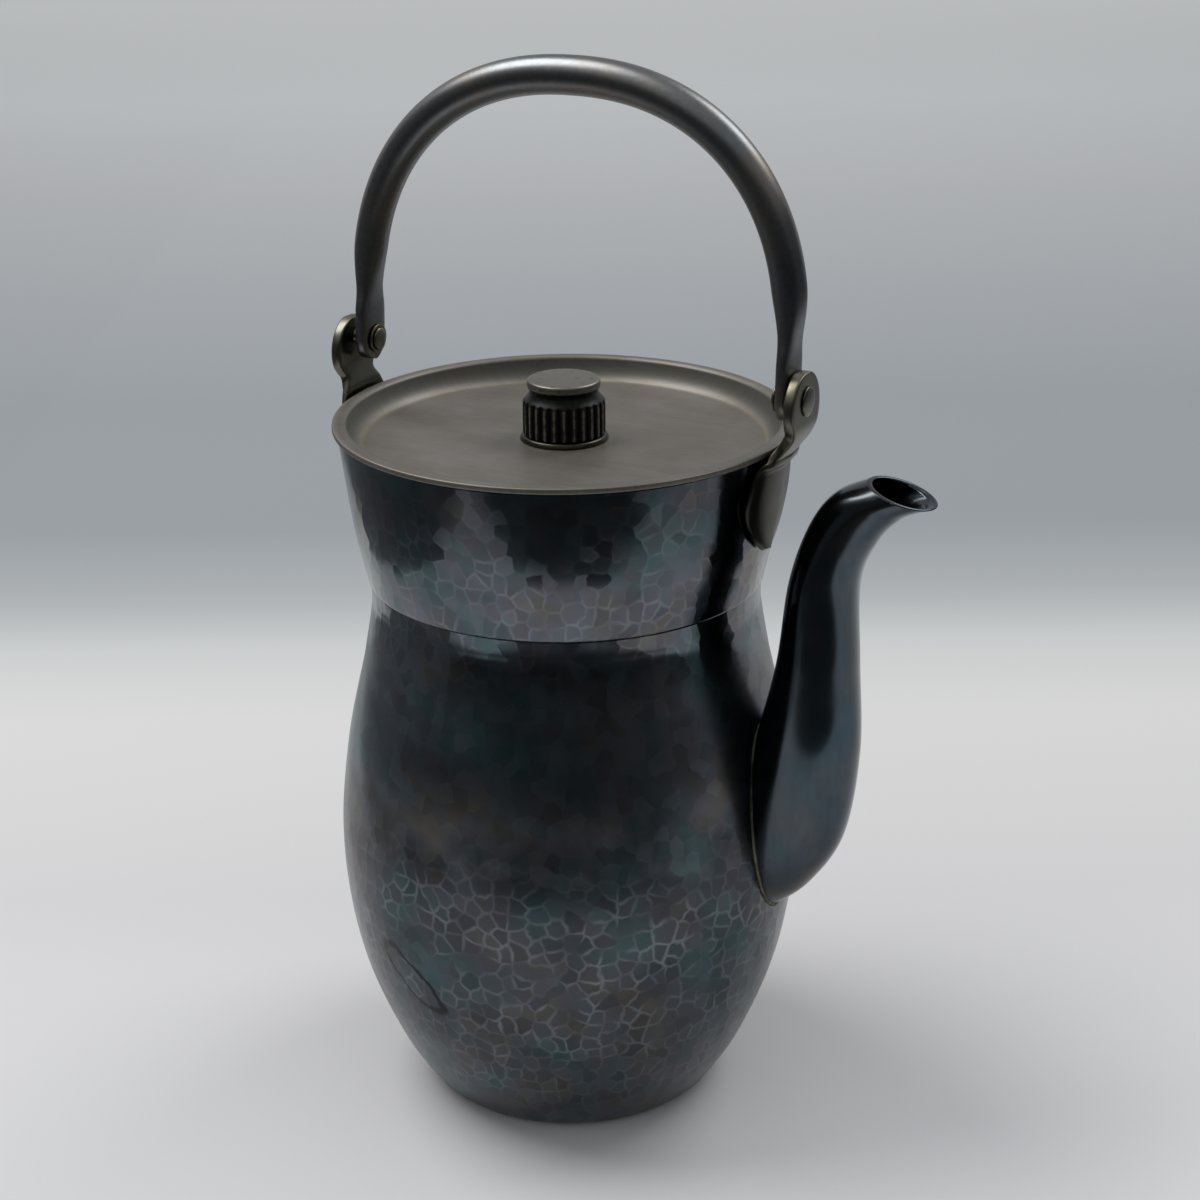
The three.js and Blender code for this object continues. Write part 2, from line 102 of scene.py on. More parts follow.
def roundCorners(profile, radius, steps=4):
    # Each corner is cut back by the radius, at most 0.45 of its shorter side, and bridged by a quadratic curve; points
    # that fall on the one before are dropped, because a face without area would spoil the smooth shading.
    p = np.array(profile, float)
    r = np.broadcast_to(np.asarray(radius, float), (len(p),))
    side = np.diff(p, axis=0)
    length = np.hypot(*side.T)
    cut = np.minimum(r[1:-1], 0.45 * np.minimum(length[:-1], length[1:]))[:, None]
    start = p[1:-1] - side[:-1] / length[:-1, None] * cut
    end = p[1:-1] + side[1:] / length[1:, None] * cut
    t = np.linspace(0, 1, steps)[None, :, None]
    rounded = bend(t, start[:, None], p[1:-1, None], end[:, None])
    line = np.vstack([p[:1], rounded.reshape(-1, 2), p[-1:]])
    return line[np.r_[True, np.hypot(*np.diff(line, axis=0).T) > 1e-6]]


def spaced(profile, count):
    # The same line resampled at equal steps of its own length.
    p = np.array(profile, float)
    run = np.concatenate([[0], np.cumsum(np.linalg.norm(np.diff(p, axis=0), axis=1))])
    at = np.linspace(0, run[-1], count)
    return np.column_stack([np.interp(at, run, column) for column in p.T])


def turned(profile, sides):
    # Point (row, column) is the profile's radius at angle 2 pi column / sides, at the profile's height.
    p = np.array(profile, float)
    angle = roundTurn(sides)
    x, y = p[:, :1] * np.cos(angle), p[:, :1] * np.sin(angle)
    return np.stack([x, y, np.broadcast_to(p[:, 1:], x.shape)], -1)


def handRaised(points, depth, seed, waves=26):
    # Moves each point in or out by a sum of random waves in angle and height, whole numbers round the turn, so that
    # beaten sheet isn't a perfect surface of revolution. The largest movement is the depth, always inwards.
    random = np.random.default_rng(seed)
    turns, pitch = random.integers(2, 34, waves), random.uniform(12, 60, waves)
    phase, weight = random.uniform(0, 2 * math.pi, waves), random.uniform(0.4, 1, waves)
    radius = np.hypot(points[..., 0], points[..., 1])
    angle = np.arctan2(points[..., 1], points[..., 0])
    swell = sum(
        a * np.sin(m * angle + 2 * math.pi * points[..., 2] / h + f)
        for m, h, f, a in zip(turns, pitch, phase, weight)
    )
    swell = (swell - swell.max()) / (swell.max() - swell.min())
    scale = 1 + depth * swell / np.maximum(radius, 1)
    return np.stack([points[..., 0] * scale, points[..., 1] * scale, points[..., 2]], -1)


def addPiece(name, points, body, material, stands=(), ring=False, values=None):
    # Rows and columns of points become quads, with the columns closed round. With ring the last row joins the first;
    # otherwise each end closes with a fan to its middle. A skin that comes out inside out has its faces turned.
    rows, columns = points.shape[:2]
    index = np.arange(rows * columns).reshape(rows, columns)
    here = index if ring else index[:-1]
    after = np.roll(index, -1, 0) if ring else index[1:]
    quads = np.stack([here, np.roll(here, -1, 1), np.roll(after, -1, 1), after], -1).reshape(-1, 4)
    vertices = points.reshape(-1, 3)
    fans = np.zeros((0, 3), int)
    if not ring:
        vertices = np.vstack([vertices, points[0].mean(0), points[-1].mean(0)])
        first, last = rows * columns, rows * columns + 1
        start = np.column_stack([np.full(columns, first), np.roll(index[0], -1), index[0]])
        end = np.column_stack([np.full(columns, last), index[-1], np.roll(index[-1], -1)])
        fans = np.vstack([start, end])
    a, b, c, d = (vertices[quads[:, k]] for k in range(4))
    volume = (a * (np.cross(b, c) + np.cross(c, d))).sum()
    if volume < 0:
        quads, fans = quads[:, ::-1], fans[:, ::-1]
    mesh = bpy.data.meshes.new(name)
    mesh.from_pydata(vertices * mm, [], quads.tolist() + fans.tolist())
    mesh.polygons.foreach_set("use_smooth", np.ones(len(mesh.polygons), bool))
    if values is not None:
        ends = [] if ring else [values[0].mean(), values[-1].mean()]
        kept = np.concatenate([values.ravel(), ends]).astype(np.float32)
        mesh.attributes.new("rib", "FLOAT", "POINT").data.foreach_set("value", kept)
    mesh.update()
    mesh.materials.append(material)
    piece = bpy.data.objects.new(name, mesh)
    bpy.context.scene.collection.objects.link(piece)
    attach(piece, body)
    if stands:
        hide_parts(*stands)


def hexColour(code):
    # sRGB hex to linear light, by the standard curve.
    share = np.array([int(code[i : i + 2], 16) for i in (1, 3, 5)]) / 255
    linear = np.where(share <= 0.04045, share / 12.92, ((share + 0.055) / 1.055) ** 2.4)
    return (*(float(c) for c in linear), 1.0)


def setInputs(tree, node, inputs):  # each input gets a plain value or another node's output
    for key, value in inputs.items():
        if isinstance(value, bpy.types.NodeSocket):
            tree.links.new(value, node.inputs[key])
        else:
            node.inputs[key].default_value = value


def addNode(tree, kind, inputs=None, stops=None, **settings):
    # One shader node: its settings, its inputs, and its ramp's stops, each a place with a hex colour or a number.
    node = tree.nodes.new("ShaderNode" + kind)
    for key, value in settings.items():
        setattr(node, key, value)
    setInputs(tree, node, inputs or {})
    if stops:
        ramp = node.color_ramp.elements
        while len(ramp) < len(stops):
            ramp.new(0.5)
        for element, (place, code) in zip(ramp, stops):
            element.position = place
            element.color = hexColour(code) if isinstance(code, str) else (code, code, code, 1)
    return node


def newMaterial(name):
    # A material with a Principled surface on its output, and the object coordinates that its patterns read.
    material = bpy.data.materials.new(name)
    material.use_nodes = True
    tree = material.node_tree
    tree.nodes.clear()
    surface = addNode(tree, "BsdfPrincipled")
    output = addNode(tree, "OutputMaterial", {"Surface": surface.outputs["BSDF"]})
    output.is_active_output = True
    where = addNode(tree, "TexCoord").outputs["Object"]
    return material, tree, surface, where


hammered = {
    "cell": 4.1,  # mm across one hammer mark
    "cellTall": 1.1,  # marks are a little taller than wide
    "jitter": 0.8,  # 0 sets the marks in rows, 1 strews them
    "roll": 56,  # mm radius at which the wall is unrolled
    "waver": (8, 3),  # mm from bend to bend of a mark's edge, mm that it bends
    "fray": (2.6, 1.5),  # the same for its small notches
    "flatten": 0.75,  # share of the wall's roundness that a mark's flat takes away
    "lean": 0.02,  # rad that a mark's flat leans its own way
    "soften": 0.2,  # share of a mark over which two flats run into each other
    "line": 0.16,  # share of a mark that the painted highlight line between two marks takes
    "grain": (0.9, 0.003),  # mm across, mm deep
    "patina": [(0.3, "#6d8c90"), (0.43, "#79888d"), (0.55, "#80838b"), (0.7, "#87837d")],
    "patinaPatch": 24,  # mm across one patch of tint
    "ownTint": 0.12,  # share of the patina's colours over which single marks stray
    "ownShade": (0.8, 1.15),  # darkest and lightest mark
    "cloud": 15,  # mm across one cloud
    "cloudShade": (0.8, 1.2),  # darkest and lightest cloud
    "cloudRise": 14,  # mm that a cloud moves the wall's stops up or down at most
    "wearAndGlint": (0.38, 0.7),  # noise below which a line keeps its patina, and above which its painted highlight shows whole
    # the pale colour of the painted highlight on the lines between marks
    "ridgeGlintColour": "#8f979b",
}
# the ridge stops set how strongly the painted highlight shows on the lines, and the tone stops mix painted shade into
# the colour
wallStops = ("marks", "ridgeGlints", "rough", "toneAndShade")  # what each wall gives as stops of [height in mm, value]


def hammerMarks(tree, where):
    # Cells over the unrolled wall: the angle about Z times the radius of the roll, and the height. The place is first
    # moved by two noises about their mean. A cell gives its colour, its softened flat and the distance to its edge.
    moved, noises = where, []
    for bend, reach in (hammered["waver"], hammered["fray"]):
        noise = addNode(tree, "TexNoise", {"Vector": where, "Scale": 1 / (bend * mm), "Detail": 1.0})
        noises.append(noise.outputs["Color"])
        about = addNode(tree, "VectorMath", {0: noises[-1], 1: (0.5,) * 3}, operation="SUBTRACT").outputs[0]
        shift = {0: about, 1: (reach * mm,) * 3, 2: moved}
        moved = addNode(tree, "VectorMath", shift, operation="MULTIPLY_ADD").outputs[0]
    place = addNode(tree, "SeparateXYZ", {0: moved}).outputs
    angle = addNode(tree, "Math", {0: place["Y"], 1: place["X"]}, operation="ARCTAN2").outputs[0]
    around = addNode(tree, "Math", {0: angle, 1: hammered["roll"] * mm}, operation="MULTIPLY").outputs[0]
    up = addNode(tree, "Math", {0: place["Z"], 1: hammered["cellTall"]}, operation="DIVIDE").outputs[0]
    unrolled = addNode(tree, "CombineXYZ", {"X": around, "Y": up}).outputs[0]
    field = {"Vector": unrolled, "Scale": 1 / (hammered["cell"] * mm), "Randomness": hammered["jitter"]}
    soft = {**field, "Smoothness": hammered["soften"]}
    mark, flat, edge = (
        addNode(tree, "TexVoronoi", values, voronoi_dimensions="2D", feature=feature).outputs
        for values, feature in ((field, "F1"), (soft, "SMOOTH_F1"), (field, "DISTANCE_TO_EDGE"))
    )
    return moved, noises[0], around, mark["Color"], flat, edge["Distance"]


def markNormal(tree, where, around, flat, depth):
    # The wall's normal, turned back about Z by a share of the angle to the mark's own middle, plus the mark's lean,
    # both times the marks' depth at this height, with the fine grain of the patina on top.
    turnBack = hammered["flatten"] / (hammered["roll"] * mm)
    middle = addNode(tree, "SeparateXYZ", {0: flat["Position"]}).outputs["X"]
    aside = addNode(tree, "Math", {0: middle, 1: around}, operation="SUBTRACT").outputs[0]
    back = addNode(tree, "Math", {0: aside, 1: turnBack}, operation="MULTIPLY").outputs[0]
    back = addNode(tree, "Math", {0: back, 1: depth}, operation="MULTIPLY").outputs[0]
    wall = addNode(tree, "TexCoord").outputs["Normal"]
    faced = addNode(tree, "VectorRotate", {"Vector": wall, "Angle": back}, rotation_type="Z_AXIS").outputs[0]
    lean = addNode(tree, "VectorMath", {0: flat["Color"], 1: (0.5,) * 3}, operation="SUBTRACT").outputs[0]
    lean = addNode(tree, "VectorMath", {0: lean, "Scale": depth}, operation="SCALE").outputs[0]
    leant = {0: lean, 1: (2 * hammered["lean"],) * 3, 2: faced}
    faced = addNode(tree, "VectorMath", leant, operation="MULTIPLY_ADD").outputs[0]
    space = {"vector_type": "NORMAL", "convert_from": "OBJECT", "convert_to": "WORLD"}
    faced = addNode(tree, "VectorTransform", {0: faced}, **space).outputs[0]
    faced = addNode(tree, "VectorMath", {0: faced}, operation="NORMALIZE").outputs[0]
    across, deep = hammered["grain"]
    grain = addNode(tree, "TexNoise", {"Vector": where, "Scale": 1 / (across * mm), "Detail": 3.0})
    bump = {"Distance": deep * mm, "Height": grain.outputs["Fac"], "Normal": faced}
    return addNode(tree, "Bump", bump).outputs["Normal"]


def markColour(tree, where, mark, cloud, toneAndShade):
    # Slow patches of teal, violet and brown, in which each mark strays by its own tint; the shade is the mark's own
    # times the cloud's times the tone at this height, which mixes painted shade into the patina's own.
    patchy = {"Vector": where, "Scale": 1 / (hammered["patinaPatch"] * mm), "Detail": 5.0, "Roughness": 0.62}
    patch = addNode(tree, "TexNoise", patchy).outputs["Fac"]
    own, stray = addNode(tree, "SeparateColor", {0: mark}).outputs, hammered["ownTint"]
    patch = addNode(tree, "Math", {0: own[1], 1: stray, 2: patch}, operation="MULTIPLY_ADD").outputs[0]
    patch = addNode(tree, "Math", {0: patch, 1: stray / 2}, operation="SUBTRACT").outputs[0]
    tint = addNode(tree, "ValToRGB", {"Fac": patch}, stops=hammered["patina"]).outputs["Color"]
    (dark, light), (dull, clear) = hammered["ownShade"], hammered["cloudShade"]
    shade = addNode(tree, "MapRange", {"Value": own[0], "To Min": dark, "To Max": light}).outputs["Result"]
    clouded = {"Value": cloud, "From Min": 0.3, "From Max": 0.7, "To Min": dull, "To Max": clear}
    for factor in (addNode(tree, "MapRange", clouded).outputs["Result"], toneAndShade):
        shade = addNode(tree, "Math", {0: shade, 1: factor}, operation="MULTIPLY").outputs[0]
    return addNode(tree, "VectorMath", {0: tint, "Scale": shade}, operation="SCALE").outputs[0]


def ridgeGlintLines(tree, colour, edge, waver, ridgeGlints):
    # A painted highlight: pale where the distance to the mark's edge is small, the noise is high and the height's share
    # for the highlight allows it.
    line = {"Value": edge, "From Max": hammered["line"], "To Min": 1.0, "To Max": 0.0}
    bare = addNode(tree, "MapRange", line, interpolation_type="SMOOTHSTEP").outputs["Result"]
    wearAndGlint = addNode(tree, "SeparateColor", {0: waver}).outputs[2]
    start, full = hammered["wearAndGlint"]
    wearAndGlint = addNode(tree, "MapRange", {"Value": wearAndGlint, "From Min": start, "From Max": full}).outputs["Result"]
    for factor in (wearAndGlint, ridgeGlints):
        bare = addNode(tree, "Math", {0: bare, 1: factor}, operation="MULTIPLY").outputs[0]
    mixed = {0: bare, 6: colour, 7: hexColour(hammered["ridgeGlintColour"])}
    return addNode(tree, "Mix", mixed, data_type="RGBA").outputs[2]


def waterRing(tree, colour, moved, stain):
    # The distance from the ring's middle, in its own half widths, less one: near nought the ring is dark.
    inRing = {"Vector": moved, "Location": stain["place"], "Rotation": stain["turn"], "Scale": stain["size"]}
    local = addNode(tree, "Mapping", inRing, vector_type="TEXTURE").outputs[0]
    far = addNode(tree, "VectorMath", {0: local}, operation="LENGTH").outputs["Value"]
    off = addNode(tree, "Math", {0: far, 1: 1.0}, operation="SUBTRACT").outputs[0]
    off = addNode(tree, "Math", {0: off}, operation="ABSOLUTE").outputs[0]
    (full, gone), strength = stain["edge"], stain["strength"]
    fading = {"Value": off, "From Min": full, "From Max": gone, "To Min": strength, "To Max": 0.0}
    dark = addNode(tree, "MapRange", fading, interpolation_type="SMOOTHSTEP").outputs["Result"]
    mixed = {0: dark, 6: colour, 7: hexColour(stain["colour"])}
    return addNode(tree, "Mix", mixed, data_type="RGBA").outputs[2]


def hammeredTin(name, wall, stain=None):
    # Planished tin under a dark patina: each hammer mark is a small flat that mirrors the room by itself, in a shade
    # of its own, and the lines between the marks carry a painted pale highlight. The wall's stops change this up its
    # height, and its tone stops mix painted shade into the colour.
    material, tree, surface, where = newMaterial(name)
    moved, waver, around, mark, flat, edge = hammerMarks(tree, where)
    height = addNode(tree, "SeparateXYZ", {0: where}).outputs["Z"]
    cloudy = {"Vector": where, "Scale": 1 / (hammered["cloud"] * mm), "Detail": 3.0}
    cloud, rise = addNode(tree, "TexNoise", cloudy).outputs["Fac"], hammered["cloudRise"] * mm
    wander = addNode(tree, "MapRange", {"Value": cloud, "To Min": -rise, "To Max": rise}).outputs["Result"]
    level = addNode(tree, "Math", {0: height, 1: wander}, operation="ADD").outputs[0]
    share = addNode(tree, "Math", {0: level, 1: rimHeight * mm}, operation="DIVIDE").outputs[0]
    depth, ridgeGlints, rough, toneAndShade = (
        addNode(tree, "ValToRGB", {"Fac": share}, stops=places).outputs["Color"]
        for places in ([(z / rimHeight, value) for z, value in wall[key]] for key in wallStops)
    )
    colour = ridgeGlintLines(tree, markColour(tree, where, mark, cloud, toneAndShade), edge, waver, ridgeGlints)
    if stain:
        colour = waterRing(tree, colour, moved, stain)
    normal = markNormal(tree, where, around, flat, depth)
    setInputs(tree, surface, {"Base Color": colour, "Roughness": rough, "Normal": normal, "Metallic": 1.0})
    return material


def patinatedTin(name, stops, patch, roughness, grain, stretch=(1, 1, 1), fade=None):
    # Drawn or cast tin rubbed smooth under its patina: slow patches of colour and roughness, and a fine grain that can
    # be stretched along the way it was rubbed. A patch is in mm, the grain in mm across and mm deep. With fade (low,
    # high, share) the colour comes up from that share of itself at the low height to all of it at the high one.
    material, tree, surface, where = newMaterial(name)
    patchy = {"Vector": where, "Scale": 1 / (patch * mm), "Detail": 5.0, "Roughness": 0.6}
    slow = addNode(tree, "TexNoise", patchy).outputs["Fac"]
    colour = addNode(tree, "ValToRGB", {"Fac": slow}, stops=stops).outputs["Color"]
    rubbed = addNode(tree, "VectorMath", {0: where, 1: stretch}, operation="MULTIPLY").outputs[0]
    grainy = {"Vector": rubbed, "Scale": 1 / (grain[0] * mm), "Detail": 4.0}
    fine = addNode(tree, "TexNoise", grainy).outputs["Fac"]
    shade = addNode(tree, "MapRange", {"Value": fine, "To Min": 0.8, "To Max": 1.2}).outputs["Result"]
    if fade:
        height = addNode(tree, "SeparateXYZ", {0: where}).outputs["Z"]
        span = {"Value": height, "From Min": fade[0] * mm, "From Max": fade[1] * mm, "To Min": fade[2]}
        fading = addNode(tree, "MapRange", span).outputs["Result"]
        shade = addNode(tree, "Math", {0: shade, 1: fading}, operation="MULTIPLY").outputs[0]
    colour = addNode(tree, "VectorMath", {0: colour, "Scale": shade}, operation="SCALE").outputs[0]
    span = {"Value": slow, "From Min": 0.3, "From Max": 0.7, "To Min": roughness[0], "To Max": roughness[1]}
    rough = addNode(tree, "MapRange", span).outputs["Result"]
    normal = addNode(tree, "Bump", {"Distance": grain[1] * mm, "Height": fine}).outputs["Normal"]
    setInputs(tree, surface, {"Base Color": colour, "Roughness": rough, "Normal": normal, "Metallic": 1.0})
    return material


belly = {
    # radius, height
    "outline": [(40, 0), (49.7, 16), (59, 42), (62.5, 71), (59.9, 100), (54.3, 126)]
    + [(52.1, 138.5), (51.75, 143), (51.95, seamHeight)],
    "sheet": 1.4,
    "foot": 2,  # thickness of the floor
    "footEdge": 3,  # rounding where the foot turns up into the flank
    "hub": 2,  # radius of the small ring from which the floor is fanned
    "tongueIn": (1.3, 1.2),  # from the skin in to the tongue, at the seam and at the tongue's top
    "rows": 150,
    "sides": 320,
    "beating": 0.22,  # depth of the unevenness that beating leaves
    "marks": [(0, 0.2), (12, 0.8), (80, 0.9), (96, 0.3), (132, 0.2), (138, 1.0), (147, 1.0)],
    "ridgeGlints": [(0, 0.1), (14, 0.32), (68, 0.4), (86, 0.14), (94, 0.03), (134, 0.04), (139, 0.32), (147, 0.28)],
    "rough": [(0, 0.3), (60, 0.25), (90, 0.3), (128, 0.3), (140, 0.18), (147, 0.16)],
    # the patina's tone with painted shade mixed in: lowest on the lower belly, darkening its reflection of the paper as
    # the ewer's shadow would
    "toneAndShade": [(0, 0.62), (14, 0.5), (30, 0.33), (70, 0.29), (84, 0.24), (100, 0.6), (134, 0.7), (142, 0.5), (147, 0.46)],
}
neck = {
    "middle": [(55.2, 161), (57.3, 176)],  # radius, height, between the foot and the rim
    "step": 0.4,  # from the belly's skin out to the neck's
    "rim": 58.8,
    "edge": 0.3,  # rounding of the rim
    "rows": 60,
    "beating": 0.05,
    "marks": [(147, 1.0), (170, 1.0), (179, 0.6), (188, 0.4)],
    "ridgeGlints": [(147, 0.3), (166, 0.26), (176, 0.08), (188, 0.05)],
    "rough": [(147, 0.15), (175, 0.14), (188, 0.18)],
    # the patina's tone with painted shade mixed in: darker towards the rim, a painted dark reflection of the room
    "toneAndShade": [(147, 0.46), (166, 0.43), (175, 0.3), (188, 0.28)],
}
ringStain = {
    "place": (-0.0172, -0.0572, 0.0489),  # in m
    "turn": (0.0, math.radians(38), 0.0),
    "size": (0.0115, 0.02, 0.0042),  # half widths in m, across the middle line, through the sheet and along it
    "edge": (0.04, 0.2),  # shares of the half width beside the ring's line where it is darkest and where it ends
    "strength": 0.85,
    "colour": "#121416",
}

bellyTin = hammeredTin("planishedTinBelly", belly, ringStain)
neckTin = hammeredTin("planishedTinNeck", neck)


def bellyProfile():
    # Up the outside from the foot to the seam, over the tongue inside the neck, and down the inside to the floor.
    flank = smoothCurve(belly["outline"], belly["rows"])
    flank = flank[flank[:, 1] > belly["footEdge"]]
    t = np.linspace(0, 1, 8)[:, None]
    corner = np.array([belly["outline"][0][0], 0])
    start = corner - (belly["footEdge"], 0)
    foot = bend(t, start, corner, flank[0])
    outside = np.vstack([[(belly["hub"], 0), (belly["outline"][0][0] / 2, 0)], foot[:-1], flank])
    atSeam, atTop = outside[-1, 0] - np.array(belly["tongueIn"])
    top = seamHeight + seamLap
    tongue = np.array([(atSeam, seamHeight), (atTop, top), (atTop - belly["sheet"], top)])
    wall = flank[::-7] - (belly["sheet"], 0)
    inside = wall[wall[:, 1] > belly["foot"] + belly["footEdge"]]
    floor = [(inside[-1, 0] - belly["footEdge"] - 1, belly["foot"]), (belly["hub"], belly["foot"])]
    return np.vstack([outside, tongue, inside[1:], floor])


def neckProfile():
    # Up the outside to the rim and back down the inside, with soft edges.
    foot = smoothCurve(belly["outline"], 2)[-1, 0] + neck["step"]
    outside = smoothCurve([(foot, neckFoot), *neck["middle"], (neck["rim"], rimHeight)], neck["rows"])
    inside = outside[::-4] - (belly["sheet"], 0)
    profile = np.vstack([outside, inside, outside[:1]])
    radius = np.zeros(len(profile))
    radius[[len(outside) - 1, len(outside)]] = neck["edge"]
    return roundCorners(profile, radius, 3)[:-1]


def bellyRadius(height):  # outer radius of the belly at a height, from the same outline
    line = smoothCurve(belly["outline"], 400)
    return np.interp(height, line[:, 1], line[:, 0])


bellySkin = handRaised(turned(bellyProfile(), belly["sides"]), belly["beating"], 3)
neckSkin = handRaised(turned(neckProfile(), belly["sides"]), neck["beating"], 5)
addPiece("bellyShell", bellySkin, "body", bellyTin, ["belly"])
addPiece("neckShell", neckSkin, "body", neckTin, ["neck_collar"], ring=True)
print("belly and neck made")


spout = {
    "wall": 1.3,
    "widest": 62.6,
    "rails": [
        # front edge out from the belly's widest, its height; back edge the same; half width between them
        (-0.6, 62, -13, 62, 4),
        (9.1, 71, -13, 71, 9.5),
        (17.7, 86, -13, 86, 13),
        (21.1, 110, -5.8, 113, 13.2),
        (20.1, 134.2, -0.7, 134.1, 12.2),
        (19.6, 156, 2.1, 156.1, 11),
        (24.6, 168.8, 6.7, 170.9, 9.6),
        (31.4, 176.2, 12.9, 180.1, 8.6),
        (39.4, 179.8, 22, 185, 8),
    ],
    "rows": 130,
    "sides": 96,
    "rootEnd": 0.8,  # the root lies before this share of the spout
    "bead": 0.55,  # radius of the solder line round the root
    "beadSides": 12,
    "beadWobble": 0.25,  # share of the radius
}
# burnished along its length until it mirrors the room in long blue-black bands
spoutTin = patinatedTin(
    "polishedTinSpout",
    [(0.25, "#3d4c55"), (0.45, "#424c52"), (0.6, "#4c5054"), (0.78, "#5a584b")],
    patch=26,
    roughness=(0.12, 0.24),
    grain=(1.6, 0.004),
    stretch=(1, 1, 0.2),
)
# a scraped line of solder, dull and paler than the metal beside it
solderTin = patinatedTin(
    "solderLine", [(0.3, "#3c3d38"), (0.7, "#6f6a58")], patch=3, roughness=(0.35, 0.5), grain=(0.8, 0.05)
)


def spoutSkin(t, inset):
    # At parameter t the section is an oval whose ends lie on the two rails, its points at equal angles.
    line = smoothCurve(spout["rails"], t * (len(spout["rails"]) - 1))
    front, back = line[..., :2] + (spout["widest"], 0), line[..., 2:4] + (spout["widest"], 0)
    half = line[..., 4]
    middle, reach = (front + back) / 2, (front - back) / 2
    long = np.hypot(reach[..., 0], reach[..., 1])[..., None]
    reach = reach * (long - inset) / long
    angle = roundTurn(t.shape[1])
    x = middle[..., 0] + reach[..., 0] * np.cos(angle)
    z = middle[..., 1] + reach[..., 1] * np.cos(angle)
    return np.stack([x, (half - inset) * np.sin(angle), z], -1)


def rootOf(inset):
    # For each line along the spout, the last parameter at which it is still inside the belly's skin.
    t = np.repeat(np.linspace(0, spout["rootEnd"], 900)[:, None], spout["sides"], 1)
    p = spoutSkin(t, inset)
    inside = np.hypot(p[..., 0], p[..., 1]) < bellyRadius(p[..., 2])
    return t[len(t) - 1 - np.argmax(inside[::-1], 0), 0]


def spoutTube():
    # Outside from the root to the mouth, over a rounded lip, then the bore back down to the root.
    outerRoot, innerRoot = rootOf(0), rootOf(spout["wall"])
    s = np.linspace(0, 1, spout["rows"])[:, None]
    outside = spoutSkin(outerRoot + (1 - outerRoot) * s, 0)
    bore = spoutSkin(innerRoot + (1 - innerRoot) * s[::-2], spout["wall"])
    out, into = outside[-1], bore[0]
    crown = unit(out - outside[-2]) * spout["wall"] / 2
    turn = np.linspace(0, math.pi, 7)[1:-1, None, None]
    lip = (out + into) / 2 + (out - into) / 2 * np.cos(turn) + crown * np.sin(turn)
    outside[-1], bore[0] = out - crown, into - crown
    return np.concatenate([outside, lip - crown, bore])  # the lip's crown keeps the CAD mouth's height


def beadRound(path, radius):
    # A round section carried along a closed line on the belly: out from the axis, and square to that and to the line.
    # Its radius is that of the bead times one plus the product of two sines along the line.
    out = unit(path * (1, 1, 0))
    side = np.cross(unit(np.roll(path, -1, 0) - np.roll(path, 1, 0)), out)
    angle = roundTurn(spout["beadSides"])[:, None, None]
    step = np.arange(len(path))[:, None]
    wobble = 1 + spout["beadWobble"] * np.sin(step * 1.7) * np.sin(step * 0.61)
    return path + radius * wobble * (np.cos(angle) * out + np.sin(angle) * side)


addPiece("spoutTube", spoutTube(), "body", spoutTin, ["spout"], ring=True)
rootLine = spoutSkin(rootOf(0)[None, :], 0)[0]
addPiece("spoutSolder", beadRound(rootLine, spout["bead"]), "body", solderTin, ring=True)
print("spout made")


bail = {
    "lean": 3.1,  # degrees away from upright
    "fall": 0.85,  # degrees that the line of the pins falls towards the spout
    "legRise": 14.3,  # straight, above the pins
    "archRise": 59.1,
    "archPower": 2.22,  # 2 would be half an ellipse
    "leg": 4.0,  # radius of the bar
    "crown": 4.95,
    "eye": 5.6,
    "eyeThick": 3.8,
    "eyeSquare": 0.45,  # 0 leaves the flat eye's section round, 1 makes it a box
    "flat": (9.4, 27),  # above the pins: where the flat eye thickens to the round leg
    "broad": (8, 16),  # above the pins: where the broad eye narrows to it
    "rows": 260,
    "sides": 40,
}
ears = {
    "thick": 3.05,
    "radius": 9.1,
    "drop": 2.7,  # centre of the round eye, below the height of the pins
    "waist": 6.8,
    "leaf": [(3.7, 9.3), (9, 12), (14, 12.9), (19.5, 11), (25, 6.2), (29, 0.9)],  # below the waist, half width
    "leafEdge": 1.3,
    "leafDome": 1.4,
    "leafGap": 0.4,  # from the neck's skin to the leaf
    "square": (0.22, 0.35),  # powers of the section's cosine and sine: the smaller, the crisper its edges
    "taper": 2.5,  # half width under which the plate thins out to its ends
    "armDrop": 7,
    "landing": 4,  # below the rim, where the arm meets the neck at the latest
    "clearing": 1,  # below the rim, from where the arm stands clear of the lid's flange
    "rows": 110,
    "sides": 44,
    "front": {"inner": 64.5, "play": seat, "bend": 6.5, "waist": 1.0, "fall": 0.85},
    "back": {"inner": 62.4, "play": 2.2, "bend": 8.5, "waist": 3.5, "fall": -0.85},  # the line of the pins rises here
}
rivet = {"shank": 2.1, "head": 3.8, "headHeight": 0.8, "dome": 0.75, "tail": 2.9, "washer": 0.5, "play": 0.25}

# olive at the eyes; painted shade darkens it down towards the leaf under the lid's flange, and darkens the knob's ring,
# which sits as low
earTin = patinatedTin(
    "rubbedTinEars",
    [(0.25, "#5b5a4c"), (0.5, "#66655a"), (0.75, "#77705e")],
    patch=12,
    roughness=(0.26, 0.4),
    grain=(1.2, 0.012),
    # painted shade: below 197 mm the colour falls to 0.28 of itself at 184 mm
    fade=(184, 197, 0.28),
)


def neckRadius(height):  # outer radius of the neck at a height, from the same outline
    foot = smoothCurve(belly["outline"], 2)[-1, 0] + neck["step"]
    line = smoothCurve([(foot, neckFoot), *neck["middle"], (neck["rim"], rimHeight)], 120)
    return np.interp(height, line[:, 1], line[:, 0])


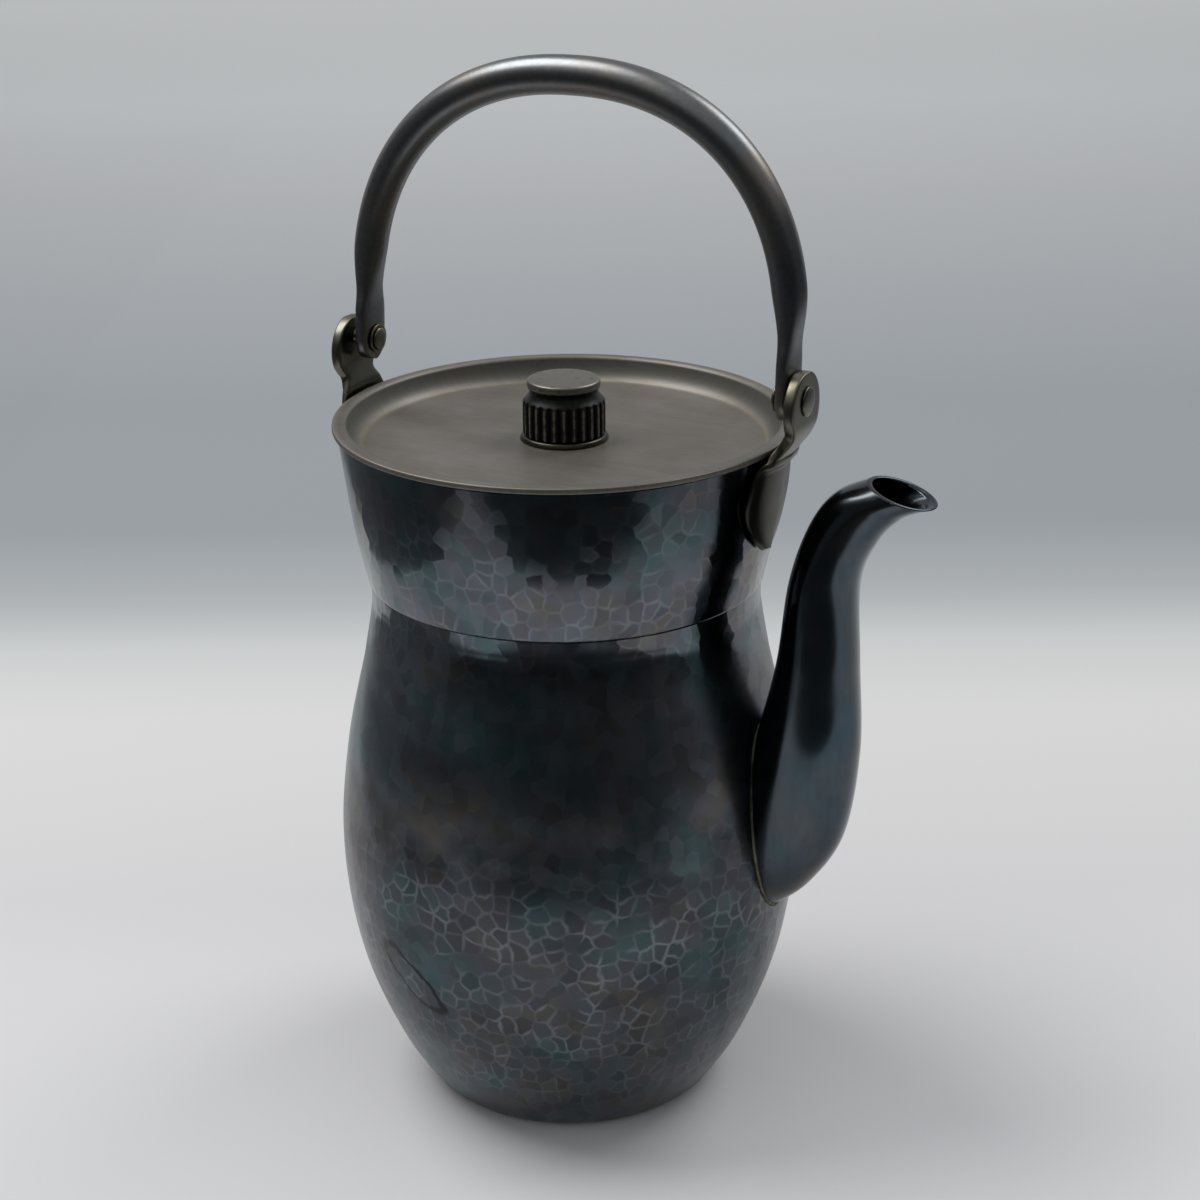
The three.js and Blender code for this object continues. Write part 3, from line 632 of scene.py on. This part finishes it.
def earPlate(arm, turn):
    # Sections up the plate: each is a bar with rounded edges, flat at the eye, wrapped round the neck and domed at the
    # leaf. Its half width is the eye's circle, then the waist, then a curve through the leaf's points.
    waist = flangeTop + arm["waist"]
    middle = pinHeight - ears["drop"]
    tip, top = waist - ears["leaf"][-1][0], middle + ears["radius"]
    z = tip + (top - tip) * (1 - np.cos(np.linspace(0.02, math.pi - 0.02, ears["rows"]))) / 2
    leaf = smoothCurve([(0, ears["waist"]), *ears["leaf"]], 80)
    eye = np.sqrt(np.maximum(ears["radius"] ** 2 - (z - middle) ** 2, 0))
    below = np.interp(waist - z, leaf[:, 0], leaf[:, 1])
    half = np.where(z >= middle, eye, np.where(z >= waist, np.maximum(eye, ears["waist"]), below))

    flat, bend = arm["inner"] + ears["thick"] / 2, flangeTop + arm["bend"]
    landing = min(bend - ears["armDrop"], rimHeight - ears["landing"])
    foot = neckRadius(np.minimum(z, rimHeight)) + ears["leafGap"] + ears["leafEdge"] / 2
    line = foot + (flat - foot) * smoothStep(z, landing, bend)
    clear = flangeRadius + seat + ears["thick"] / 2
    line = np.where(z > rimHeight - ears["clearing"], np.maximum(line, clear), line)
    slope = np.gradient(line, z)
    normal = np.stack([np.ones_like(z), -slope], -1) / np.hypot(1, slope)[:, None]
    wrap = 1 - smoothStep(z, waist - ears["armDrop"], waist + ears["armDrop"] / 2)

    angle = roundTurn(ears["sides"])
    across = powered(np.cos(angle), ears["square"][0])
    through = powered(np.sin(angle), ears["square"][1])
    thick = ears["thick"] + (ears["leafEdge"] - ears["thick"]) * wrap
    dome = ears["leafDome"] * wrap[:, None] * (1 - across**2) * (through > 0)
    taper = np.clip(half / ears["taper"], 0, 1)[:, None]
    offset = (thick[:, None] / 2 * through + dome) * taper
    radius = line[:, None] + offset * normal[:, :1]
    wound = across * half[:, None] * wrap[:, None] / line[:, None]
    x = radius * np.cos(wound)
    y = radius * np.sin(wound) + across * half[:, None] * (1 - wrap[:, None])
    plate = np.stack([x, y, z[:, None] + offset * normal[:, 1:]], -1)
    return plate @ np.array(Matrix.Rotation(-turn, 3, "Z"))


def onPins(points, arm, turn):  # lays a shape turned about Z along the falling line of the pins, on one side
    laid = Matrix.Rotation(math.pi / 2 + math.radians(arm["fall"]), 3, "Y")
    return (points @ np.array(laid).T + (0, 0, pinHeight)) @ np.array(Matrix.Rotation(-turn, 3, "Z"))


def eyeOut(arm):  # from the axis to the middle of the bail's eye on one side
    return arm["inner"] - arm["play"] - bail["eyeThick"] / 2


def washerIn(arm):  # from the axis to the inner face of the washer
    return eyeOut(arm) - bail["eyeThick"] / 2 - seat - rivet["washer"]


def rivetProfile(arm):
    # From the crown of the inner head, along the shank, to the crown of the outer head; both crowns are domed.
    outer, inner = arm["inner"] + ears["thick"] + seat / 2, washerIn(arm) - seat / 2
    a = np.linspace(0.08, math.pi / 2, 9)[:, None]
    rise = rivet["headHeight"] * (1 - rivet["dome"] + rivet["dome"] * np.cos(a))
    tail = np.hstack([rivet["tail"] * np.sin(a), inner - rise])
    head = np.hstack([rivet["head"] * np.sin(a), outer + rise])[::-1]
    shank = [(rivet["tail"], inner), (rivet["shank"], inner), (rivet["shank"], outer), (rivet["head"], outer)]
    return np.vstack([tail, shank, head])


def washerProfile(arm):
    # A flat ring round the shank, with soft edges.
    bore, near = rivet["shank"] + rivet["play"], washerIn(arm)
    far = near + rivet["washer"]
    corners = [(bore, near), (rivet["head"], near), (rivet["head"], far), (bore, far), (bore, near)]
    return roundCorners(corners, 0.15, 3)[:-1]


for side, turn in (("front", 0.0), ("back", math.pi)):
    arm = ears[side]
    pin = onPins(turned(rivetProfile(arm), 40), arm, turn)
    washer = onPins(turned(washerProfile(arm), 40), arm, turn)
    addPiece(f"ear_{side}_plate", earPlate(arm, turn), "body", earTin, [f"ear_{side}"])
    addPiece(f"rivet_{side}", pin, "body", earTin, [f"bail_pin_{side}"])
    addPiece(f"washer_{side}", washer, "body", earTin, [f"bail_washer_{side}"], ring=True)
print("ears and rivets made")


# a grey bar that hands have worn to a soft gloss
bailTin = patinatedTin(
    "rubbedTinBail",
    [(0.3, "#6c7276"), (0.5, "#717171"), (0.72, "#7c7268")],
    patch=30,
    roughness=(0.3, 0.42),
    grain=(1.1, 0.012),
)


def bailBar():
    # Straight legs under half a superellipse; the section goes from a flat eye to a round bar, thickest at the crown.
    # Each eye is moved down or up to the falling line of the pins, by its distance out times the tangent of the fall.
    front, back = eyeOut(ears["front"]), eyeOut(ears["back"])
    span, shift = (front + back) / 2, (front - back) / 2
    fall = math.tan(math.radians(bail["fall"]))
    a, power = np.linspace(0, math.pi, 600), 2 / bail["archPower"]
    arch = np.column_stack([-span * powered(np.cos(a), power), np.maximum(np.sin(a), 0) ** power])
    arch[:, 1] = bail["legRise"] + bail["archRise"] * arch[:, 1]
    below = -bail["eye"] * np.cos(np.linspace(0.12, math.pi / 2, 14))
    leg = np.column_stack([np.full_like(below, -span), below])
    middle = spaced(np.vstack([leg[-1:], arch, leg[-1:] * (-1, 1)]), bail["rows"])
    line = np.vstack([leg, middle[1:-1], leg[::-1] * (-1, 1)])
    rise = line[:, 1].copy()
    run = np.linspace(0, 1, len(line))
    line[:, 1] -= line[:, 0] * fall * (1 - np.clip(rise / bail["legRise"], 0, 1))
    along = unit(np.gradient(line, axis=0))
    flat, broad = 1 - smoothStep(rise, *bail["flat"]), 1 - smoothStep(rise, *bail["broad"])
    bar = bail["leg"] + (bail["crown"] - bail["leg"]) * np.sin(math.pi * run)
    eyeHalf = bail["eye"] * np.sqrt(np.maximum(1 - (np.minimum(rise, 0) / bail["eye"]) ** 2, 0))
    thick = bar + (bail["eyeThick"] / 2 - bar) * flat
    wide = bar + (eyeHalf - bar) * broad
    angle = roundTurn(bail["sides"])
    sharp = (1 - bail["eyeSquare"] * flat)[:, None]  # the eyes are flat plates with rounded edges, the bar is round
    c, s = powered(np.cos(angle), sharp), powered(np.sin(angle), sharp)
    px = line[:, :1] + along[:, 1:] * thick[:, None] * c
    pz = line[:, 1:] - along[:, :1] * thick[:, None] * c
    points = np.stack([px, wide[:, None] * s, pz], -1)
    pins = Matrix.Rotation(-math.radians(bail["lean"]), 3, (1, 0, -fall))
    return points @ np.array(pins).T + (shift, 0, pinHeight - shift * fall)


addPiece("bailBar", bailBar(), "bail", bailTin, ["bail"])
print("bail made")


lid = {
    "thick": 1.5,
    "flangeEdge": 0.5,
    "depth": 6,
    "floor": 52.8,
    "sheet": 1.3,
    "wellTop": 56.5,
    "wellLean": 0.8,  # how much farther out the well's underside starts
    "curve": (0.35, 0.18),  # what draws the well's wall: share of its width, share of its height
    "bore": 2.25,  # round the knob's rivet
    "discs": (45, 36, 28, 20, 12),  # radii of the rows over the flat floor
    "beating": 0.05,
    "sides": 240,
    "scratch": (50 / 3, 0.625, 5),  # mm along, across and through one scratch; coarser than grit, so that it shows
    "scratchTurn": -27,
    "scratchDepth": 0.02,
}
knob = {
    "ring": (11.6, 0.6),  # radius, how far its side leans in
    "flute": 10.8,
    "fluteHeight": 8.6,
    "fluteDepth": 0.62,
    "flutes": 26,
    "groove": 8.6,
    "shoulder": 2.8,
    "shoulderOut": (0.9, 1.2),  # where the shoulder breaks: outside the groove, above the flutes
    "cap": 9.5,
    "capBevel": 0.9,
    "hub": (3, 2),  # radii from which the underside and the cap are fanned
    "corners": [0, 0.6, 0.8, 1.5, 0.8, 0.5, 0.9, 0],
    "grain": (1.5, 0.02),  # mm across, mm deep
    "wearAndGlint": [(0.4, "#131416"), (0.82, "#34332f"), (0.9, "#77736b")],
}
lidRings = [  # radius, half width, strength, colour: painted shade on the well's wall, a polished line with a painted highlight round its foot, pale round the knob
    (lid["floor"] + 2.6, 2.4, 0.9, "#4d4f49"),
    (lid["floor"] - 0.2, 0.9, 0.55, "#a39877"),
    (knob["ring"][0] + 0.5, 1.1, 0.5, "#8f8669"),
]


def brushedTin(name):
    # Sheet tin scoured by hand and gone grey-brown: long fine scratches one way, a soft sheen, a ring of painted shade
    # on the well's wall, a polished line with a painted highlight round its foot, and a pale ring round the knob.
    material, tree, surface, where = newMaterial(name)
    scale = tuple(1 / (size * mm) for size in lid["scratch"])
    turn = (0, 0, math.radians(lid["scratchTurn"]))
    along = addNode(tree, "Mapping", {"Vector": where, "Rotation": turn, "Scale": scale}).outputs[0]
    fine = {"Vector": along, "Scale": 1.0, "Detail": 4.0, "Roughness": 0.7}
    scratch = addNode(tree, "TexNoise", fine).outputs["Fac"]
    patchy = {"Vector": where, "Scale": 1 / (20 * mm), "Detail": 5.0, "Roughness": 0.65}
    slow = addNode(tree, "TexNoise", patchy).outputs["Fac"]
    greys = [(0.3, "#69645e"), (0.5, "#716c65"), (0.7, "#797470")]
    colour = addNode(tree, "ValToRGB", {"Fac": slow}, stops=greys).outputs["Color"]
    span = {"Value": scratch, "From Min": 0.3, "From Max": 0.7, "To Min": 0.88, "To Max": 1.12}
    shade = addNode(tree, "MapRange", span).outputs["Result"]
    colour = addNode(tree, "VectorMath", {0: colour, "Scale": shade}, operation="SCALE").outputs[0]
    level = addNode(tree, "VectorMath", {0: where, 1: (1, 1, 0)}, operation="MULTIPLY").outputs[0]
    radius = addNode(tree, "VectorMath", {0: level}, operation="LENGTH").outputs["Value"]
    for middle, width, strength, code in lidRings:
        off = addNode(tree, "Math", {0: radius, 1: middle * mm}, operation="SUBTRACT").outputs[0]
        off = addNode(tree, "Math", {0: off}, operation="ABSOLUTE").outputs[0]
        fading = {"Value": off, "From Max": width * mm, "To Min": strength, "To Max": 0.0}
        near = addNode(tree, "MapRange", fading, interpolation_type="SMOOTHSTEP").outputs["Result"]
        near = addNode(tree, "Math", {0: near, 1: slow}, operation="MULTIPLY").outputs[0]
        colour = addNode(tree, "Mix", {0: near, 6: colour, 7: hexColour(code)}, data_type="RGBA").outputs[2]
    normal = addNode(tree, "Bump", {"Distance": lid["scratchDepth"] * mm, "Height": scratch}).outputs["Normal"]
    setInputs(tree, surface, {"Base Color": colour, "Normal": normal, "Metallic": 0.75, "Roughness": 0.5})
    return material


def knobTin(name):
    # Cast and cut tin: the grooves keep a near-black patina, the ribs and the cap are rubbed grey.
    material, tree, surface, where = newMaterial(name)
    rib = addNode(tree, "Attribute", attribute_name="rib").outputs["Fac"]
    grainy = {"Vector": where, "Scale": 1 / (knob["grain"][0] * mm), "Detail": 4.0}
    fine = addNode(tree, "TexNoise", grainy).outputs["Fac"]
    wearAndGlint = addNode(tree, "Math", {0: fine, 1: 0.35, 2: rib}, operation="MULTIPLY_ADD").outputs[0]
    colour = addNode(tree, "ValToRGB", {"Fac": wearAndGlint}, stops=knob["wearAndGlint"]).outputs["Color"]
    normal = addNode(tree, "Bump", {"Distance": knob["grain"][1] * mm, "Height": fine}).outputs["Normal"]
    setInputs(tree, surface, {"Base Color": colour, "Normal": normal, "Metallic": 0.9, "Roughness": 0.42})
    return material


lidTin = brushedTin("brushedTinLid")
knobMetal = knobTin("cutTinKnob")


def lidProfile():
    # From the rivet's hole out under the floor, up the wall to the flange's edge, and back down into the well. Each
    # side of the well's wall is a quadratic curve.
    floor, under = flangeTop - lid["depth"], flangeTop - lid["thick"]
    wallTop = lid["wellTop"] + lid["wellLean"]

    def well(r0, z0, r1, z1):
        pull = np.array([r0 + (r1 - r0) * lid["curve"][0], z1 + (z0 - z1) * lid["curve"][1]])
        return bend(np.linspace(0, 1, 14)[:, None], np.array([r0, z0]), pull, np.array([r1, z1]))

    outside = well(wallTop, under, lid["floor"], floor - lid["sheet"])[::-1]
    inside = well(lid["wellTop"], flangeTop, lid["floor"], floor)
    flange = [(wallTop, under), (flangeRadius, under), (flangeRadius, flangeTop), (lid["wellTop"], flangeTop)]
    edge = roundCorners(flange, lid["flangeEdge"], 5)[1:-1]
    below = [(lid["bore"], floor - lid["sheet"]), (25, floor - lid["sheet"])]
    return np.vstack([below, outside, edge, inside, [(r, floor) for r in (*lid["discs"], lid["bore"])]])


def knobSkin():
    # A turned profile whose radius is cut by the flutes: depth times the absolute cosine of half the flutes' angle.
    # With each point goes how bare it is rubbed: little in the flutes and under the cap.
    foot, top = low("knob")[2], high("knob")[2]
    fluteTop = foot + knob["fluteHeight"]
    groove = fluteTop + knob["shoulder"]
    breakOut, breakUp = knob["shoulderOut"]
    line = [(knob["hub"][0], foot), (knob["flute"], foot), (knob["flute"], fluteTop)]
    line += [(knob["groove"] + breakOut, fluteTop + breakUp), (knob["groove"], groove)]
    line += [(knob["cap"], groove + knob["capBevel"]), (knob["cap"], top), (knob["hub"][1], top)]
    line = roundCorners(line, knob["corners"], 6)
    line = np.vstack([line[:1], spaced(line[1:-1], 64), line[-1:]])
    radius, height = line[:, :1], line[:, 1:]
    angle = roundTurn(knob["flutes"] * 10)
    cut = smoothStep(height, foot - 0.5, foot + 0.3) * (1 - smoothStep(height, fluteTop - 0.5, fluteTop + 0.7))
    cut = cut * smoothStep(radius, knob["flute"] - 3, knob["flute"] - 1)
    rib = np.abs(np.sin(knob["flutes"] * angle / 2))
    radius = radius - knob["fluteDepth"] * cut * (1 - rib)
    underCap = smoothStep(height, fluteTop - 0.3, fluteTop + 0.3) * (1 - smoothStep(height, groove + 0.6, groove + 1.2))
    bare = 0.75 * (1 - cut * (1 - rib**1.5) - 0.6 * underCap)
    height = np.broadcast_to(height, radius.shape)
    return np.stack([radius * np.cos(angle), radius * np.sin(angle), height], -1), bare


def ringProfile():
    # A plain ring round the rivet, its side leaning in.
    foot, top = low("knob_ring")[2], high("knob_ring")[2]
    radius, leanIn = knob["ring"]
    corners = [(lid["bore"], foot), (radius, foot), (radius - leanIn, top), (lid["bore"], top), (lid["bore"], foot)]
    return roundCorners(corners, [0, 0.3, 0.5, 0, 0], 4)[:-1]


lidSkin = handRaised(turned(lidProfile(), lid["sides"]), lid["beating"], 9)
addPiece("lidPan", lidSkin, "lid", lidTin, ["lid"], ring=True)
addPiece("knobRing", turned(ringProfile(), 96), "lid", earTin, ["knob_ring"], ring=True)
knobBody, bareness = knobSkin()
addPiece("knobBody", knobBody, "lid", knobMetal, ["knob"], values=bareness)
for node in ("knob_rivet", "knob_washer"):
    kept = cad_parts[node].data
    kept.materials.clear()
    kept.materials.append(lidTin)
print("lid and knob made")


stage = {
    "floor": 6.0,  # m across
    "paperLightAndShade": [  # mm behind the ewer's axis, colour: the flat paper painted pale near the ewer, grey where a backdrop would rise, and white far back as painted light
        *((-400, "#e6e5e7"), (-80, "#d8d7d9"), (20, "#c9c8ca"), (90, "#c1c0c1"), (230, "#c5c4c3")),
        *((300, "#babbbb"), (360, "#9c9fa1"), (450, "#8b8f93"), (660, "#8f9397"), (900, "#a1a4a7")),
        *((1200, "#bbbcbe"), (1650, "#e0e1e2"), (2350, "#fdfdfd")),
    ],
    "reach": 3000,  # mm from the axis to either end of the paper's ramp
    "paper": (262, 280, 600),  # mm from the axis to the paper's edge in front, on the left and on the right
    "room": 1500,  # mm to the dark sheets of painted shade for the unlit room, which only reflections show
    "roomTall": 1200,
    "lift": 3,  # mm that the cloths lie above the paper's plane
    "dark": "#2e3032",
    "dusk": "#5a5e61",
    "world": "#c8cbcd",
    "worldStrength": 0.75,
}
# the camera: degrees, mm from the axis and above the floor, and the lens in mm
view = {"azimuth": 28, "distance": 584.5, "height": 367.4, "yaw": 0.87, "pitch": 21.39, "roll": -0.5, "lens": 70.5}
lamps = [  # place in m, size in m, watts
    ((-0.7, -0.1, 1.3), 0.9, 14),
    ((0.5, 0.8, 1.2), 0.8, 8),
]
lampAim = np.array([0, 0, 0.12])
heading = math.radians(view["azimuth"])
ahead = np.array([math.sin(heading), -math.cos(heading), 0])  # from the ewer towards the camera
right = np.array([math.cos(heading), math.sin(heading), 0])


def paperMaterial():
    # Matt painted paper: only colour, painted light and shade that changes with the distance behind the ewer along the
    # line of sight.
    material, tree, surface, where = newMaterial("mattPaintedPaper")
    sight = {0: where, 1: tuple(float(a) for a in -ahead)}
    behind = addNode(tree, "VectorMath", sight, operation="DOT_PRODUCT").outputs["Value"]
    span = {"Value": behind, "From Min": -stage["reach"] * mm, "From Max": stage["reach"] * mm}
    share = addNode(tree, "MapRange", span).outputs["Result"]
    places = [(0.5 + s / stage["reach"] / 2, code) for s, code in stage["paperLightAndShade"]]
    colour = addNode(tree, "ValToRGB", {"Fac": share}, stops=places).outputs["Color"]
    setInputs(tree, surface, {"Base Color": colour, "Roughness": 0.9, "Specular IOR Level": 0.1})
    return material


def clothMaterial(name, code):  # matt cloth, of one colour
    material, tree, surface, _ = newMaterial(name)
    setInputs(tree, surface, {"Base Color": hexColour(code), "Roughness": 0.95})
    return material


def addSheet(name, corners, material):  # one flat face, which belongs to the studio and not to the ewer
    mesh = bpy.data.meshes.new(name)
    mesh.from_pydata([tuple(c) for c in corners], [], [(0, 1, 2, 3)])
    mesh.materials.append(material)
    sheet = bpy.data.objects.new(name, mesh)
    bpy.context.scene.collection.objects.link(sheet)
    return sheet


def onFloor(forward, sideways, height=0):  # a place in m from mm towards the camera, to the right and up
    return (ahead * forward + right * sideways + (0, 0, height)) * mm


half = stage["floor"] / 2
addSheet("paper", [(-half, -half, 0), (half, -half, 0), (half, half, 0), (-half, half, 0)], paperMaterial())
darkRoomShade, dimRoomShade = clothMaterial("darkRoomShade", stage["dark"]), clothMaterial("dimRoomShade", stage["dusk"])
(front, leftEdge, rightEdge), room = stage["paper"], stage["room"]
tall, lift = stage["roomTall"], stage["lift"]
# dark sheets seen only in reflections: painted shade that stands in for the unlit room round the camera
cloths = {
    "clothFront": [(front, -room), (front, room), (room, room), (room, -room)],
    "clothLeft": [(-room, -room), (-room, -leftEdge), (front, -leftEdge), (front, -room)],
    "clothRight": [(-room, rightEdge), (-room, room), (front, room), (front, rightEdge)],
}
walls = {
    "wallFront": [(room, -room), (room, room)],
    "wallLeft": [(-room / 2, -room), (room, -room)],
    "wallRight": [(-room / 2, room), (room, room)],
}
sheets = {name: [onFloor(f, r, lift) for f, r in corners] for name, corners in cloths.items()}
for name, (start, end) in walls.items():
    sheets[name] = [onFloor(*start, lift), onFloor(*end, lift), onFloor(*end, tall), onFloor(*start, tall)]
for name, corners in sheets.items():
    cloth = addSheet(name, corners, darkRoomShade if name.endswith("Front") else dimRoomShade)
    cloth.visible_camera = cloth.visible_diffuse = cloth.visible_shadow = False

world = bpy.data.worlds.new("softRoom")
bpy.context.scene.world = world
world.use_nodes = True
background = world.node_tree.nodes["Background"]
setInputs(world.node_tree, background, {"Color": hexColour(stage["world"]), "Strength": stage["worldStrength"]})

for number, (place, size, power) in enumerate(lamps):
    light = bpy.data.lights.new(f"softbox{number}", "AREA")
    light.shape, light.size, light.energy = "DISK", size, power
    lamp = bpy.data.objects.new(light.name, light)
    bpy.context.scene.collection.objects.link(lamp)
    lamp.location = place
    aim = lampAim - place
    lamp.rotation_euler = (math.atan2(math.hypot(aim[0], aim[1]), -aim[2]), 0, math.atan2(aim[1], aim[0]) - math.pi / 2)

lens = bpy.data.cameras.new("photographer")
lens.lens, lens.sensor_width, lens.clip_start, lens.clip_end = view["lens"], 36, 0.01, 20
camera = bpy.data.objects.new("photographer", lens)
bpy.context.scene.collection.objects.link(camera)
place = ahead * view["distance"] * mm + (0, 0, view["height"] * mm)
turn = (
    Matrix.Rotation(math.radians(view["azimuth"] - view["yaw"]), 4, "Z")
    @ Matrix.Rotation(math.radians(90 - view["pitch"]), 4, "X")
    @ Matrix.Rotation(math.radians(view["roll"]), 4, "Z")
)
camera.matrix_world = Matrix.Translation(place) @ turn
bpy.context.scene.camera = camera
bpy.context.scene.view_settings.view_transform = "Standard"
print("stage, light and camera made")
